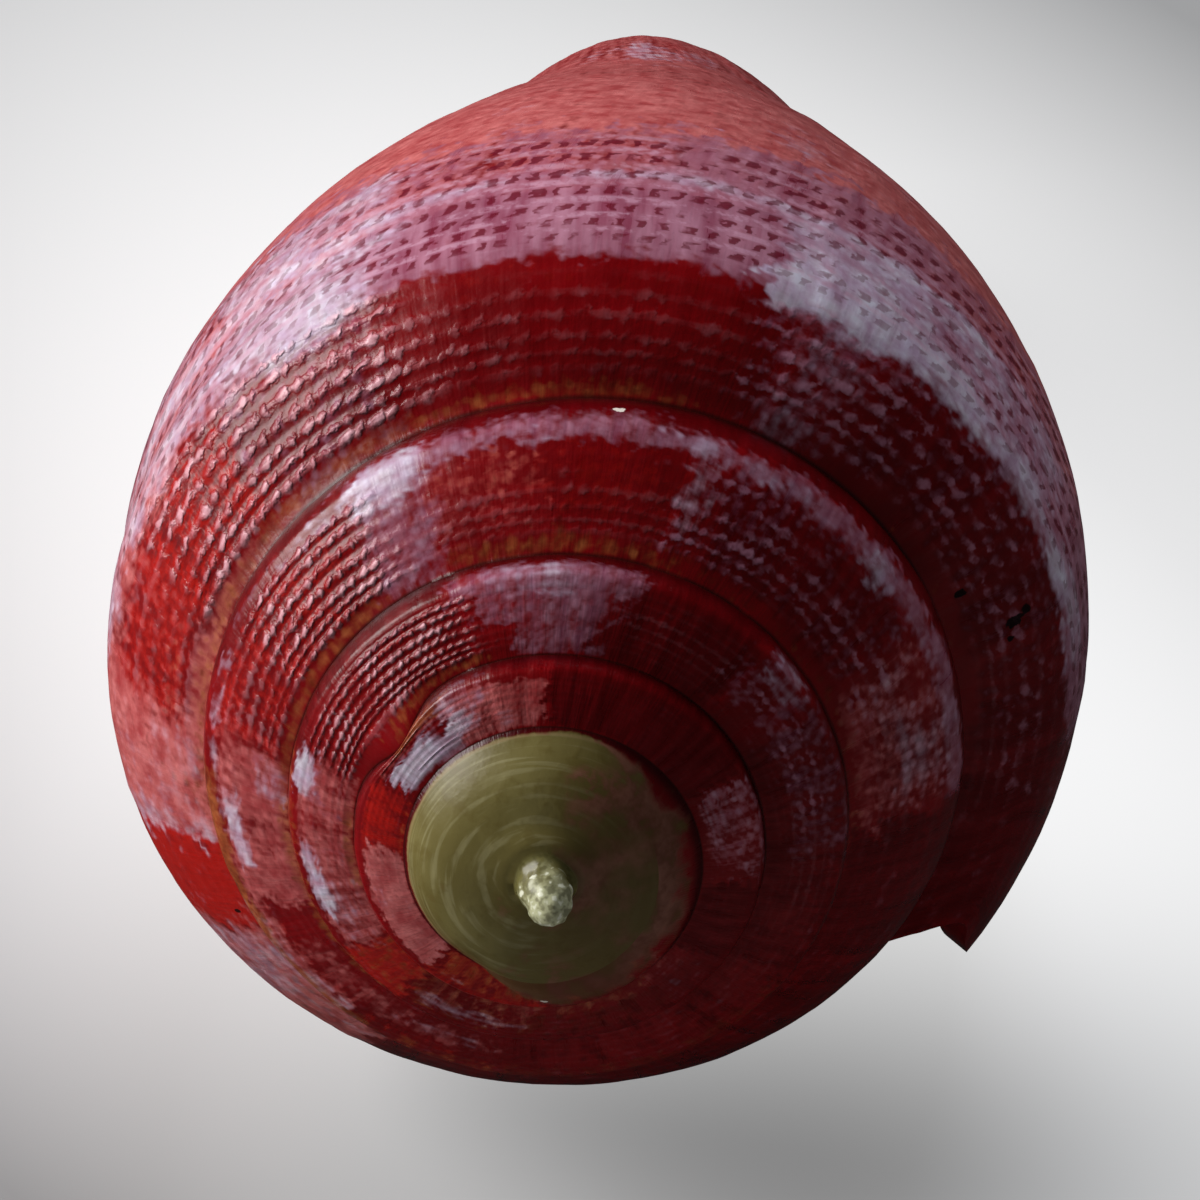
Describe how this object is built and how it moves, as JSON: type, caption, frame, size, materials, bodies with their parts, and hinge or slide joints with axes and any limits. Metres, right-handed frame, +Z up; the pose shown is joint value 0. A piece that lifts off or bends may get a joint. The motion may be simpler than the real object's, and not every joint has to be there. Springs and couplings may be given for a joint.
{
  "type": "cone shell",
  "caption": "Stout cone shell with a stepped, domed spire and a narrow mouth, lying mouth down on the edge of its outer lip and its belly.",
  "frame": {"origin": "centre of the shell's bounding box, on the table that it lies on", "axes": "+Z up from the table; +Y along the shell towards its front end, with the spire at -Y; +X towards the side of the outer lip"},
  "size_m": [0.0238, 0.0444, 0.0222],
  "materials": {
    "polished_shell": "glossy natural shell, deep red to orange with lilac bands, pale freckles and an olive tip"
  },
  "bodies": {
    "root": {"shell": "polished_shell"}
  },
  "joints": []
}
